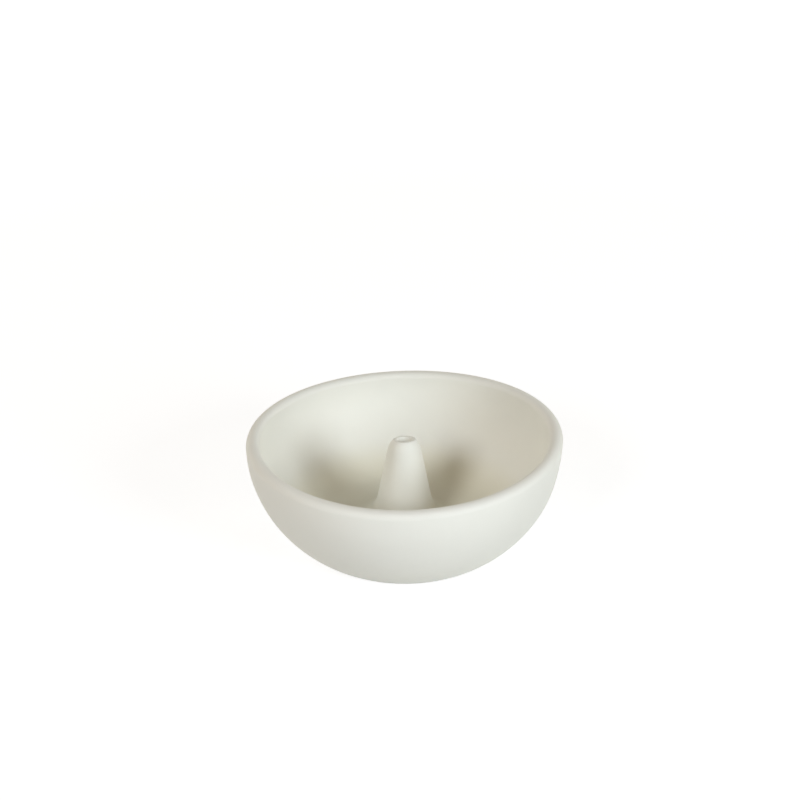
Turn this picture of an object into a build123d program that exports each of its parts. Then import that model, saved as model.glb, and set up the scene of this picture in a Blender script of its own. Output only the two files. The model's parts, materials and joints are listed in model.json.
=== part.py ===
from build123d import *
import os
from math import asin, atan, cos, degrees, radians, sin

# Bowl, thrown in stoneware (all lengths in millimetres, all heights above the table)
bowl_diameter = 100.0  # across the widest ring of the wall
rim_height = 36.3  # mean height of the lip
belly_drop = 0.7  # how far the widest ring lies below the lip
wall = 4.4
floor_height = 6.7  # floor beside the collar
floor_corner = 18.0  # inside rounding between floor and wall
floor_corner_share = 0.9  # of the rounding that would reach the collar's seat, which is the most it can be
foot_diameter = 60.0
foot_ring = 5.0  # width of the ring that the bowl stands on
foot_hollow = 2.5  # depth of the trimmed hollow inside that ring
foot_edge = 0.8  # rounding of the ring's two edges
hollow_corner_share = 0.9  # of the ring's inner wall above its rounded edge

# Lip, which leans and waves a little because it was shaped by hand
rim_lean = 1.23  # rise of the +X side above the mean
rim_wave = 0.71  # rise and fall of two crests and two dips
rim_wave_turn = 7.6  # degrees from +X to the first crest
lip_outside_share = 0.52  # of the wall, for the rounding of the outer edge
lip_inside_share = 0.46  # of the wall, for the tighter rounding of the inner edge

# Stick cone, formed by itself and stood in the middle of the floor
cone_height = 35.1
cone_top = 9.2  # diameter of the straight flank, carried on to that height
cone_foot = 20.2  # diameter of the same flank at the floor
shoulder_drop = 3.6  # how far below the mouth the flank starts to round over
cone_lip = 7.1  # diameter of the mouth's outer edge, before it is rounded
mouth = 4.8  # diameter of the mouth's inner edge, before it is rounded
mouth_depth = 2.2  # from the mouth down to the bore
mouth_outside_share = 0.6  # of the lip's width, for the rounding of the outer edge
mouth_inside_share = 0.5  # of the same width, for the rounding of the inner edge
bore = 3.5
bore_floor = 6.0  # clay left under the bore
bore_end_share = 0.8  # of the bore's radius

# Collar, a coil of soft clay worked into the corner between cone and floor
collar_curve = 10.0  # radius of its hollow flare
collar_edge = 0.6  # thickness of its two edges, which lie flush with cone and floor
joint_gap = 0.1

overrun = 1.0  # how far a cut or an uncut blank runs past the finished part

# Wall arcs, both about one centre, level with the widest ring
bowl_radius = bowl_diameter / 2
foot_radius = foot_diameter / 2
belly_height = rim_height - belly_drop
wall_reach = bowl_radius - foot_radius
wall_curve = (wall_reach**2 + belly_height**2) / (2 * wall_reach)
wall_centre = (bowl_radius - wall_curve, belly_height)
blank_height = rim_height + rim_lean + rim_wave + overrun


def wall_arc(radius, low, high):
    """Arc of the wall about its centre, from one height to another."""
    start = degrees(asin((low - belly_height) / radius))
    end = degrees(asin((high - belly_height) / radius))
    return CenterArc(wall_centre, radius, start, end - start)


def rim_point(across, along):
    """Corner, edge or middle point that steers the lip's saddle, where across and along are -1, 0 or 1."""
    reach = bowl_radius + overrun
    turn = radians(2 * rim_wave_turn)
    saddle = 2 * (across**2 - along**2) * cos(turn) + 2 * across * along * sin(turn)
    rise = rim_lean * across * reach / bowl_radius + rim_wave * saddle * (reach / bowl_radius) ** 2
    return (across * reach, along * reach, rim_height + rise)


# Cone flank and the collar that hides its foot
cone_taper = atan((cone_foot - cone_top) / 2 / (cone_height - floor_height))


def flank_radius(height):
    """Radius of the cone's straight flank at a height."""
    return cone_top / 2 + (cone_height - height) * (cone_foot - cone_top) / 2 / (cone_height - floor_height)


seat_height = floor_height - collar_edge
collar_height = floor_height + collar_curve * (1 - sin(cone_taper))
collar_radius = flank_radius(collar_height) + collar_curve * cos(cone_taper)
core_top = flank_radius(collar_height) - collar_edge
core_foot = flank_radius(seat_height) - collar_edge


def corner(section, place):
    """Corner of a section that lies nearest to a place."""
    return section.vertices().sort_by_distance(place)[0]


def lip_edges(pot):
    """Edges of a pot's highest face, the inner one first."""
    return pot.faces().sort_by(Axis.Z)[-1].edges().sort_by(SortBy.LENGTH)


os.makedirs("parts", exist_ok=True)

# Bowl: one turned wall with a hollow foot and a shallow seat, trimmed along the saddle of its lip
rim_steps = (-1, 0, 1)
rim_saddle = Face.make_bezier_surface([[rim_point(across, along) for along in rim_steps] for across in rim_steps])
ring_radius = foot_radius - foot_ring
hollow_corner = hollow_corner_share * (foot_hollow - foot_edge)
seat_radius = collar_radius + joint_gap
inside_curve = wall_curve - wall
inside_depth = belly_height - floor_height
seat_reach = seat_radius - wall_centre[0]
corner_room = (inside_curve**2 - inside_depth**2 - seat_reach**2) / (2 * (inside_curve - inside_depth))

with BuildPart() as bowl:
    with BuildSketch(Plane.XZ) as bowl_section:
        with BuildLine():
            outside = wall_arc(wall_curve, 0, blank_height)
            inside = wall_arc(inside_curve, floor_height, blank_height)
            Line(outside @ 1, inside @ 1)
            Polyline(inside @ 0, (seat_radius, floor_height), (seat_radius, seat_height), (0, seat_height))
            Line((0, seat_height), (0, foot_hollow))
            Polyline((0, foot_hollow), (ring_radius, foot_hollow), (ring_radius, 0), outside @ 0)
        make_face()
        fillet(corner(bowl_section, inside @ 0), min(floor_corner, floor_corner_share * corner_room))
        fillet(corner(bowl_section, outside @ 0), foot_edge)
        fillet(corner(bowl_section, (ring_radius, 0)), foot_edge)
        fillet(corner(bowl_section, (ring_radius, foot_hollow)), hollow_corner)
    revolve(axis=Axis.Z)
    extrude(rim_saddle, amount=blank_height, dir=(0, 0, 1), mode=Mode.SUBTRACT)
    fillet(lip_edges(bowl)[-1], lip_outside_share * wall)
    fillet(lip_edges(bowl)[0], lip_inside_share * wall)
bowl.part.label = "bowl"
export_step(bowl.part, "parts/bowl.step")

# Stick cone: a thimble with a blind bore, a flared mouth and a ledge under which the collar ends
bore_radius = bore / 2
bore_end = seat_height + bore_floor
bore_top = cone_height - mouth_depth
lip_radius = cone_lip / 2
lip_width = (cone_lip - mouth) / 2
shoulder_height = cone_height - shoulder_drop
ledge_edge = (flank_radius(collar_height), collar_height)

with BuildPart() as stick_cone:
    with BuildSketch(Plane.XZ) as cone_section:
        with BuildLine():
            flank = Line(ledge_edge, (flank_radius(shoulder_height), shoulder_height))
            shoulder = TangentArc(flank @ 1, (lip_radius, cone_height), tangent=flank % 1)
            Polyline(shoulder @ 1, (mouth / 2, cone_height), (bore_radius, bore_top), (bore_radius, bore_end))
            Polyline((bore_radius, bore_end), (0, bore_end), (0, seat_height), (core_foot, seat_height))
            Polyline((core_foot, seat_height), (core_top, collar_height), ledge_edge)
        make_face()
        fillet(corner(cone_section, shoulder @ 1), mouth_outside_share * lip_width)
        fillet(corner(cone_section, (mouth / 2, cone_height)), mouth_inside_share * lip_width)
        fillet(corner(cone_section, (bore_radius, bore_end)), bore_end_share * bore_radius)
    revolve(axis=Axis.Z)
stick_cone.part.label = "stick_cone"
export_step(stick_cone.part, "parts/stick_cone.step")

# Collar: a ring that lies in the seat, round the cone's core and up under its ledge
floor_edge = (collar_radius, floor_height)

with BuildPart() as joint_collar:
    with BuildSketch(Plane.XZ):
        with BuildLine():
            TangentArc(floor_edge, ledge_edge, tangent=(-1, 0))
            Polyline(ledge_edge, (core_top + joint_gap, collar_height), (core_foot + joint_gap, seat_height))
            Polyline((core_foot + joint_gap, seat_height), (collar_radius, seat_height), floor_edge)
        make_face()
    revolve(axis=Axis.Z)
joint_collar.part.label = "joint_collar"
export_step(joint_collar.part, "parts/joint_collar.step")
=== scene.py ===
import json
from math import atan2, ceil, cos, pi, radians, sin, sqrt, tan

import bpy
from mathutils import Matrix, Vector


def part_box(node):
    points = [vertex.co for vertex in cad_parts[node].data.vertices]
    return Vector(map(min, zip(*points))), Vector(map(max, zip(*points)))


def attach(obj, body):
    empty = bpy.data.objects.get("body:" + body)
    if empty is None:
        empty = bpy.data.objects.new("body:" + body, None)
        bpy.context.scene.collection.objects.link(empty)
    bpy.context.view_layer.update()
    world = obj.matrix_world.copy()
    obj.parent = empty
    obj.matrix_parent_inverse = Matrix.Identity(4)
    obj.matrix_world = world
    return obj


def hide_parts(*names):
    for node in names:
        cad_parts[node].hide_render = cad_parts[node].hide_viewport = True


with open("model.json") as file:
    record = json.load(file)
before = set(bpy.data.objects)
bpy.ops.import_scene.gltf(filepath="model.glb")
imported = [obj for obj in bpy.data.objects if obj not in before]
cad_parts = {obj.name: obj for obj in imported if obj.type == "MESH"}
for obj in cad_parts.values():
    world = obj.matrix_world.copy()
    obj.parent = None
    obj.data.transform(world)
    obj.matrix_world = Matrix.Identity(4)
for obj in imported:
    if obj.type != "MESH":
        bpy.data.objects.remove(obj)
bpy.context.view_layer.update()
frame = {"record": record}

# Bowl: thrown in stoneware, with a wall that is one round sweep from a trimmed foot up to a soft lip.
# The lip leans and waves a little because it was shaped by hand. An ivory satin glaze covers all of it
# but the ring that it stands on, which is wiped bare before the firing.
collar_low, collar_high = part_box("joint_collar")
bowl_radius = 0.050
rim_height = 0.0363
belly_drop = 0.0007
wall = 0.0044
lip_outside = 0.002288
lip_inside = 0.002024
collar_edge = 0.0006
floor_corner = 0.018
foot_radius = 0.030
foot_ring = 0.005
foot_hollow = 0.0025
foot_edge = 0.0008
hollow_corner = 0.00153
rim_lean = 0.00123
rim_wave = 0.00071
rim_wave_turn = radians(7.6)
rim_still_below = 0.018
rim_free_above = 0.031
finest_turn = radians(3)
longest_step = 0.001
bowl_steps = 256
smooth_up_to = radians(40)
merge_reach = 1e-6


def arc(centre, radius, start, end):
    """Points (radius, height) along a round stretch of a section, close enough together to look round."""
    sweep = abs(end - start)
    steps = ceil(max(sweep / finest_turn, sweep * radius / longest_step))
    turns = [start + (end - start) * step / steps for step in range(steps + 1)]
    return [(centre[0] + radius * cos(turn), centre[1] + radius * sin(turn)) for turn in turns]


def add_node(tree, kind, *inputs, named=None, **settings):
    """New node with its settings. Inputs are linked or set in order or by name, and None leaves one alone."""
    node = tree.nodes.new(kind)
    for name, value in settings.items():
        setattr(node, name, value)
    sockets = list(zip(node.inputs, inputs))
    sockets += [(node.inputs[name], value) for name, value in (named or {}).items()]
    for socket, value in sockets:
        if isinstance(value, bpy.types.NodeSocket):
            tree.links.new(value, socket)
        elif value is not None:
            socket.default_value = value
    return node.outputs


def turning_wheel():
    """Geometry Nodes that turn a section, drawn as a row of points, into a closed pot with a shaped lip."""
    tree = bpy.data.node_groups.new("turning_wheel", "GeometryNodeTree")
    sockets = {"Section": "Geometry", "Steps": "Int", "Lip radius": "Float",
               "Lean": "Float", "Lean turn": "Float", "Wave": "Float", "Wave turn": "Float",
               "Still below": "Float", "Free above": "Float", "Clay": "Material"}
    for name, kind in sockets.items():
        tree.interface.new_socket(name, in_out="INPUT", socket_type="NodeSocket" + kind)
    tree.interface.new_socket("Pot", in_out="OUTPUT", socket_type="NodeSocketGeometry")
    given = add_node(tree, "NodeGroupInput")

    def calculate(operation, first, second=None):
        return add_node(tree, "ShaderNodeMath", first, second, operation=operation)[0]

    # One grid row for each point of the section, and one column for each step round the axis
    points = add_node(tree, "GeometryNodeAttributeDomainSize", given["Section"])["Point Count"]
    columns = calculate("ADD", given["Steps"], 1)
    grid = add_node(tree, "GeometryNodeMeshGrid", None, None, points, columns)["Mesh"]
    index = add_node(tree, "GeometryNodeInputIndex")[0]
    row = calculate("FLOOR", calculate("DIVIDE", calculate("ADD", index, 0.5), columns))
    column = calculate("SUBTRACT", index, calculate("MULTIPLY", row, columns))
    turn = calculate("MULTIPLY", calculate("DIVIDE", column, given["Steps"]), 2 * pi)
    place = add_node(tree, "GeometryNodeInputPosition")[0]
    drawn = add_node(tree, "GeometryNodeSampleIndex", given["Section"], place, row,
                     data_type="FLOAT_VECTOR")[0]
    turned = add_node(tree, "ShaderNodeVectorRotate", drawn, None, None, turn, rotation_type="Z_AXIS")[0]

    # The lip's lean to one side and its wave of two crests, which fade out down the wall
    drawn_parts = add_node(tree, "ShaderNodeSeparateXYZ", drawn)
    reach = calculate("DIVIDE", drawn_parts["X"], given["Lip radius"])
    leaning = calculate("COSINE", calculate("SUBTRACT", turn, given["Lean turn"]))
    lean = calculate("MULTIPLY", calculate("MULTIPLY", reach, leaning), given["Lean"])
    waving = calculate("COSINE", calculate("MULTIPLY", calculate("SUBTRACT", turn, given["Wave turn"]), 2))
    wave = calculate("MULTIPLY", calculate("MULTIPLY", calculate("POWER", reach, 2), waving), given["Wave"])
    free = add_node(tree, "ShaderNodeMapRange", drawn_parts["Z"], given["Still below"], given["Free above"],
                    interpolation_type="SMOOTHSTEP")[0]
    lift = calculate("MULTIPLY", calculate("ADD", lean, wave), free)
    lifted = add_node(tree, "ShaderNodeCombineXYZ", None, None, lift)[0]

    # A closed skin with crisp edges only where two faces meet sharply
    pot = add_node(tree, "GeometryNodeSetPosition", grid, None, turned, lifted)[0]
    pot = add_node(tree, "GeometryNodeMergeByDistance", pot, None, merge_reach)[0]
    pot = add_node(tree, "GeometryNodeSetShadeSmooth", pot, None, True)[0]
    angle = add_node(tree, "GeometryNodeInputMeshEdgeAngle")["Unsigned Angle"]
    crisp = add_node(tree, "FunctionNodeCompare", angle, smooth_up_to, operation="GREATER_THAN")[0]
    pot = add_node(tree, "GeometryNodeSetShadeSmooth", pot, crisp, False, domain="EDGE")[0]
    pot = add_node(tree, "GeometryNodeRealizeInstances", pot)[0]
    pot = add_node(tree, "GeometryNodeSetMaterial", pot, None, given["Clay"])[0]
    add_node(tree, "NodeGroupOutput", pot)
    return tree


def turn_piece(name, section, sizes):
    """Turns a section on the wheel, with values for the wheel's named inputs, and leaves a plain mesh.

    The section runs with the clay on its right, so that the faces point outward.
    """
    drawing = bpy.data.meshes.new(name)
    drawing.from_pydata([(radius, 0, height) for radius, height in section], [], [])
    piece = bpy.data.objects.new(name, drawing)
    bpy.context.scene.collection.objects.link(piece)
    wheel = piece.modifiers.new("wheel", "NODES")
    wheel.node_group = clay_wheel
    for socket in clay_wheel.interface.items_tree:
        if socket.name in sizes:
            wheel[socket.identifier] = sizes[socket.name]
    evaluated = piece.evaluated_get(bpy.context.evaluated_depsgraph_get())
    piece.data = bpy.data.meshes.new_from_object(evaluated)
    piece.modifiers.clear()
    return piece


# Glaze: patches of about 25 mm where it lies thicker, mottling of about 5 mm, and a skin like orange peel.
# A warmer, darker tone is painted on the low inside of the bowl as shade, where its shadows fall. That place
# is found as the low part of a ball that takes in the inside of the bowl and leaves its outside out.
thin_tone = (0.785, 0.785, 0.727, 1)
thick_tone = (0.815, 0.815, 0.753, 1)
painted_shade_tone = (0.79, 0.772, 0.65, 1)
clay_tone = (0.56, 0.46, 0.35, 1)
patch_scale = 40.0
mottle_scale = 190.0
mottle_share = 0.4
peel_scale = 650.0
grain_scale = 2600.0
glaze_roughness = (0.60, 0.68)
clay_roughness = 0.9
peel_depth = 0.00002
bare_below = 0.0005
glazed_above = 0.0009
# Heights and ball that bound the painted shade on the low inside of the bowl
painted_shade_lowest = 0.0047
painted_shade_full_below = 0.007
painted_shade_fades_at = 0.016
shade_ball_middle = (0, 0, 0.030)
shade_ball_radius = 0.0432


def ivory_glaze():
    """Satin ivory glaze, faintly mottled, over a stoneware that shows on the ring under the bowl."""
    material = bpy.data.materials.new("satin_ivory_glaze")
    material.use_nodes = True
    tree = material.node_tree
    tree.nodes.clear()
    place = add_node(tree, "ShaderNodeTexCoord")["Object"]

    def noise(scale, detail):
        return add_node(tree, "ShaderNodeTexNoise", place, named={"Scale": scale, "Detail": detail})[0]

    def mix(share, first, second, kind):
        named = {"Factor": share, "A": first, "B": second}
        return add_node(tree, "ShaderNodeMix", named=named, data_type=kind)["Result"]

    def calculate(operation, first, second):
        return add_node(tree, "ShaderNodeMath", first, second, operation=operation)[0]

    def fade(value, start, end, most=1.0):
        return add_node(tree, "ShaderNodeMapRange", value, start, end, 0.0, most,
                        interpolation_type="SMOOTHSTEP")[0]

    thickness = mix(mottle_share, noise(patch_scale, detail=2.0), noise(mottle_scale, detail=3.0), "FLOAT")
    glaze_colour = mix(thickness, thin_tone, thick_tone, "RGBA")
    gloss = mix(thickness, glaze_roughness[1], glaze_roughness[0], "FLOAT")
    grain = noise(grain_scale, detail=2.0)
    height = add_node(tree, "ShaderNodeSeparateXYZ", place)["Z"]
    # Painted shade: a warmer, darker tone on the low inside of the bowl, strongest at the bottom and fading
    # upward
    from_middle = add_node(tree, "ShaderNodeVectorMath", place, shade_ball_middle,
                           operation="DISTANCE")["Value"]
    in_ball = calculate("LESS_THAN", from_middle, shade_ball_radius)
    above_foot = calculate("GREATER_THAN", height, painted_shade_lowest)
    painted_shade = fade(height, painted_shade_fades_at, painted_shade_full_below, most=calculate("MULTIPLY", in_ball, above_foot))
    glaze_colour = mix(painted_shade, glaze_colour, painted_shade_tone, "RGBA")
    glazed = fade(height, bare_below, glazed_above)
    clay_colour = mix(grain, clay_tone, thin_tone, "RGBA")
    skin = mix(glazed, grain, noise(peel_scale, detail=1.0), "FLOAT")
    relief = add_node(tree, "ShaderNodeBump", named={"Distance": peel_depth, "Height": skin})[0]
    surface = {"Base Color": mix(glazed, clay_colour, glaze_colour, "RGBA"),
               "Roughness": mix(glazed, clay_roughness, gloss, "FLOAT"), "Normal": relief}
    shader = add_node(tree, "ShaderNodeBsdfPrincipled", named=surface)[0]
    add_node(tree, "ShaderNodeOutputMaterial", shader)
    return material


clay_wheel = turning_wheel()
glaze = ivory_glaze()
seat_height = collar_low.z
floor_height = seat_height + collar_edge
seat_radius = collar_high.x
belly_height = rim_height - belly_drop
wall_reach = bowl_radius - foot_radius
outer_curve = (wall_reach**2 + belly_height**2) / (2 * wall_reach)
inner_curve = outer_curve - wall
wall_centre = (bowl_radius - outer_curve, belly_height)
ring_radius = foot_radius - foot_ring


def tucked_corner(centre, curve, radius, height):
    """Centre, at a height, of a rounding that touches a larger curve, and the turn at which the two meet.

    It touches from inside that curve, or from outside where its radius is negative.
    """
    reach = sqrt((curve - radius) ** 2 - (height - centre[1]) ** 2)
    return (centre[0] + reach, height), atan2(height - centre[1], reach)


corner_height = floor_height + floor_corner
inside_height = rim_height - lip_inside
outside_height = rim_height - lip_outside
corner_centre, corner_turn = tucked_corner(wall_centre, inner_curve, floor_corner, corner_height)
inside_centre, inside_turn = tucked_corner(wall_centre, inner_curve, -lip_inside, inside_height)
outside_centre, outside_turn = tucked_corner(wall_centre, outer_curve, lip_outside, outside_height)
foot_centre, foot_turn = tucked_corner(wall_centre, outer_curve, foot_edge, foot_edge)
section = [(0, seat_height), (seat_radius, seat_height), (seat_radius, floor_height)]
section += arc(corner_centre, floor_corner, -pi / 2, corner_turn)
section += arc(wall_centre, inner_curve, corner_turn, inside_turn)[1:-1]
section += arc(inside_centre, lip_inside, pi + inside_turn, pi / 2)
section += arc(outside_centre, lip_outside, pi / 2, outside_turn)
section += arc(wall_centre, outer_curve, outside_turn, foot_turn)[1:-1]
section += arc(foot_centre, foot_edge, foot_turn, -pi / 2)
section += arc((ring_radius + foot_edge, foot_edge), foot_edge, -pi / 2, -pi)
section += arc((ring_radius - hollow_corner, foot_hollow - hollow_corner), hollow_corner, 0, pi / 2)
section += [(0, foot_hollow)]
bowl = turn_piece("thrown_bowl", section, {
    "Steps": bowl_steps, "Lip radius": bowl_radius, "Lean": rim_lean, "Wave": rim_wave,
    "Wave turn": rim_wave_turn, "Still below": rim_still_below, "Free above": rim_free_above, "Clay": glaze})
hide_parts("bowl")
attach(bowl, "root")

# Stick cone: a thimble of the same clay, formed by itself, with a blind bore for the stick under a flared
# mouth that leans back a little. It stands in the middle of the bowl's floor and is glazed with it.
cone_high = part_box("stick_cone")[1]
bore = frame["record"]["mounts"][0]["dims"]["r_mm"] / 1000
cone_top = cone_high.z
ledge_height = collar_high.z
flank_top = 0.0046
flank_foot = 0.0101
shoulder_drop = 0.0036
lip_radius = 0.00355
lip_round = 0.00069
mouth_radius = 0.0024
mouth_round = 0.00058
mouth_depth = 0.0022
mouth_lean = 0.0006
mouth_lean_turn = radians(-77)
mouth_bend = 0.008
bore_end = 0.0121
bore_round = 0.0014
cone_steps = 144
taper = atan2(flank_foot - flank_top, cone_top - floor_height)
funnel = atan2(mouth_radius - bore, mouth_depth)


def flank(height):
    """Point of the cone's straight flank at a height."""
    return Vector((flank_top + (cone_top - height) * tan(taper), height))


shoulder_start = flank(cone_top - shoulder_drop)
shoulder_chord = Vector((lip_radius, cone_top)) - shoulder_start
flank_normal = Vector((cos(taper), sin(taper)))
shoulder_curve = -shoulder_chord.length_squared / 2 / shoulder_chord.dot(flank_normal)
shoulder_centre = shoulder_start - shoulder_curve * flank_normal
lip_centre, lip_turn = tucked_corner(shoulder_centre, shoulder_curve, lip_round, cone_top - lip_round)
throat_centre = (mouth_radius + mouth_round / tan((pi / 2 + funnel) / 2), cone_top - mouth_round)
core_top = flank(ledge_height)[0] - collar_edge
flank_rows = ceil((shoulder_start[1] - ledge_height) / longest_step)
section = [(0, seat_height), (cone_high.x, seat_height), (core_top, ledge_height)]
section += [flank(ledge_height).lerp(shoulder_start, row / flank_rows) for row in range(flank_rows)]
section += arc(shoulder_centre, shoulder_curve, taper, lip_turn)
section += arc(lip_centre, lip_round, lip_turn, pi / 2)[1:]
section += arc(throat_centre, mouth_round, pi / 2, pi - funnel)
section += [(bore, cone_top - mouth_depth)]
section += arc((bore - bore_round, bore_end + bore_round), bore_round, 0, -pi / 2)
section += [(0, bore_end)]
cone = turn_piece("thimble_cone", section[::-1], {
    "Steps": cone_steps, "Lip radius": lip_radius, "Lean": mouth_lean, "Lean turn": mouth_lean_turn,
    "Still below": cone_top - mouth_bend, "Free above": cone_top, "Clay": glaze})
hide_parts("stick_cone")
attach(cone, "root")

# Collar: a coil of soft clay, worked into the corner between cone and floor and smoothed to a flare.
# It lies in the bowl's seat, and the glaze runs over its edges, so no seam shows.
flare_curve = 0.010
collar_steps = 192
flare_centre = (seat_radius, floor_height + flare_curve)
section = arc(flare_centre, flare_curve, -pi / 2, taper - pi)
section += [(core_top, ledge_height), (cone_high.x, seat_height), (seat_radius, seat_height), section[0]]
collar = turn_piece("smoothed_collar", section[::-1], {
    "Steps": collar_steps, "Lip radius": seat_radius, "Clay": glaze})
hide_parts("joint_collar")
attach(collar, "root")

# Floor: a plain pale table top that reaches past every view, seen as white, with the bowl's soft shadow.
# Seen directly or in a reflection it glows, more so far from the bowl, and it lights the bowl only as
# pale paint does.
floor_reach = 3.0
table_paint = (0.81, 0.81, 0.80, 1)
seen_paint = (0.35, 0.35, 0.35, 1)
seen_glow = 0.8
white_glow = 1.0
glow_rises_from = 0.3
white_from = 0.8
floor_mesh = bpy.data.meshes.new("table_top")
corner_sides = [(-1, -1), (1, -1), (1, 1), (-1, 1)]
floor_corners = [(across * floor_reach, along * floor_reach, 0) for across, along in corner_sides]
floor_mesh.from_pydata(floor_corners, [], [(0, 1, 2, 3)])
floor = bpy.data.objects.new("table_top", floor_mesh)
bpy.context.scene.collection.objects.link(floor)


def seen_rays(tree):
    """1 for rays that show the floor or the room, straight or mirrored, and 0 for those that light things."""
    path = add_node(tree, "ShaderNodeLightPath")
    seen = path["Is Camera Ray"]
    for kind in ("Is Glossy Ray", "Is Transmission Ray"):
        seen = add_node(tree, "ShaderNodeMath", seen, path[kind], operation="MAXIMUM")[0]
    return seen


table = bpy.data.materials.new("table_paint")
table.use_nodes = True
table.cycles.emission_sampling = "NONE"
table_tree = table.node_tree
table_tree.nodes.clear()
lighting_paint = add_node(table_tree, "ShaderNodeBsdfDiffuse", table_paint)[0]
white_paint = add_node(table_tree, "ShaderNodeBsdfDiffuse", seen_paint)[0]
place = add_node(table_tree, "ShaderNodeTexCoord")["Object"]
distance = add_node(table_tree, "ShaderNodeVectorMath", place, operation="LENGTH")["Value"]
rising_glow = add_node(table_tree, "ShaderNodeMapRange", distance, glow_rises_from, white_from,
                       seen_glow, white_glow)[0]
glow = add_node(table_tree, "ShaderNodeEmission", None, rising_glow)[0]
white_top = add_node(table_tree, "ShaderNodeAddShader", white_paint, glow)[0]
top = add_node(table_tree, "ShaderNodeMixShader", seen_rays(table_tree), lighting_paint, white_top)[0]
add_node(table_tree, "ShaderNodeOutputMaterial", top)
floor_mesh.materials.append(table)

# Light: two soft boxes in front, the stronger one low on the right, and weaker, warmer ones all round.
# The room itself is dark, but seen directly or in a reflection it is white.
box_distance = 1.15
box_aim = Vector((0, 0, rim_height / 2))
key_tint = (0.93, 1.0, 1.06)
fill_tint = (0.97, 1.0, 1.04)
side_tint = (1.3, 1.0, 0.7)
rear_tint = (1.02, 1.0, 0.9)
world = bpy.data.worlds.new("white_room")
bpy.context.scene.world = world
world.use_nodes = True
room_tree = world.node_tree
room_tree.nodes.clear()
room = add_node(room_tree, "ShaderNodeBackground", (1, 1, 1, 1), seen_rays(room_tree))[0]
add_node(room_tree, "ShaderNodeOutputWorld", room)


def soft_box(name, turn, rise, size, power, tint):
    """Square lamp that faces the bowl, turned to the camera's right and raised off the table, in degrees."""
    lamp = bpy.data.lights.new(name, "AREA")
    lamp.size = size
    lamp.energy = power
    lamp.color = tint
    stand = bpy.data.objects.new(name, lamp)
    turn, rise = radians(turn), radians(rise)
    away = Vector((sin(turn) * cos(rise), -cos(turn) * cos(rise), sin(rise)))
    stand.location = box_aim + box_distance * away
    stand.rotation_euler = away.to_track_quat("Z", "Y").to_euler()
    bpy.context.scene.collection.objects.link(stand)


soft_box("key_box", turn=47, rise=21, size=0.46, power=7.8, tint=key_tint)
soft_box("fill_box", turn=-29, rise=31, size=0.31, power=4.8, tint=fill_tint)
soft_box("top_box", turn=10, rise=55, size=0.5, power=1.0, tint=side_tint)
soft_box("right_box", turn=90, rise=25, size=0.5, power=0.58, tint=side_tint)
soft_box("left_box", turn=-90, rise=25, size=0.5, power=1.5, tint=side_tint)
soft_box("rear_right_box", turn=145, rise=20, size=0.5, power=3.0, tint=rear_tint)
soft_box("rear_left_box", turn=-145, rise=20, size=0.5, power=3.0, tint=rear_tint)

# Camera: in front of the bowl and above it, looking down at the photograph's angle.
# It is a little to the left of the middle, as the bowl stands in the picture.
camera_pitch = radians(26.57)
camera_place = (-0.00139, -0.70397, 0.40094)
lens = 113.2
camera = bpy.data.objects.new("camera", bpy.data.cameras.new("camera"))
camera.data.lens = lens
camera.location = camera_place
camera.rotation_euler = (pi / 2 - camera_pitch, 0, 0)
bpy.context.scene.collection.objects.link(camera)
bpy.context.scene.camera = camera
bpy.context.scene.view_settings.view_transform = "Standard"
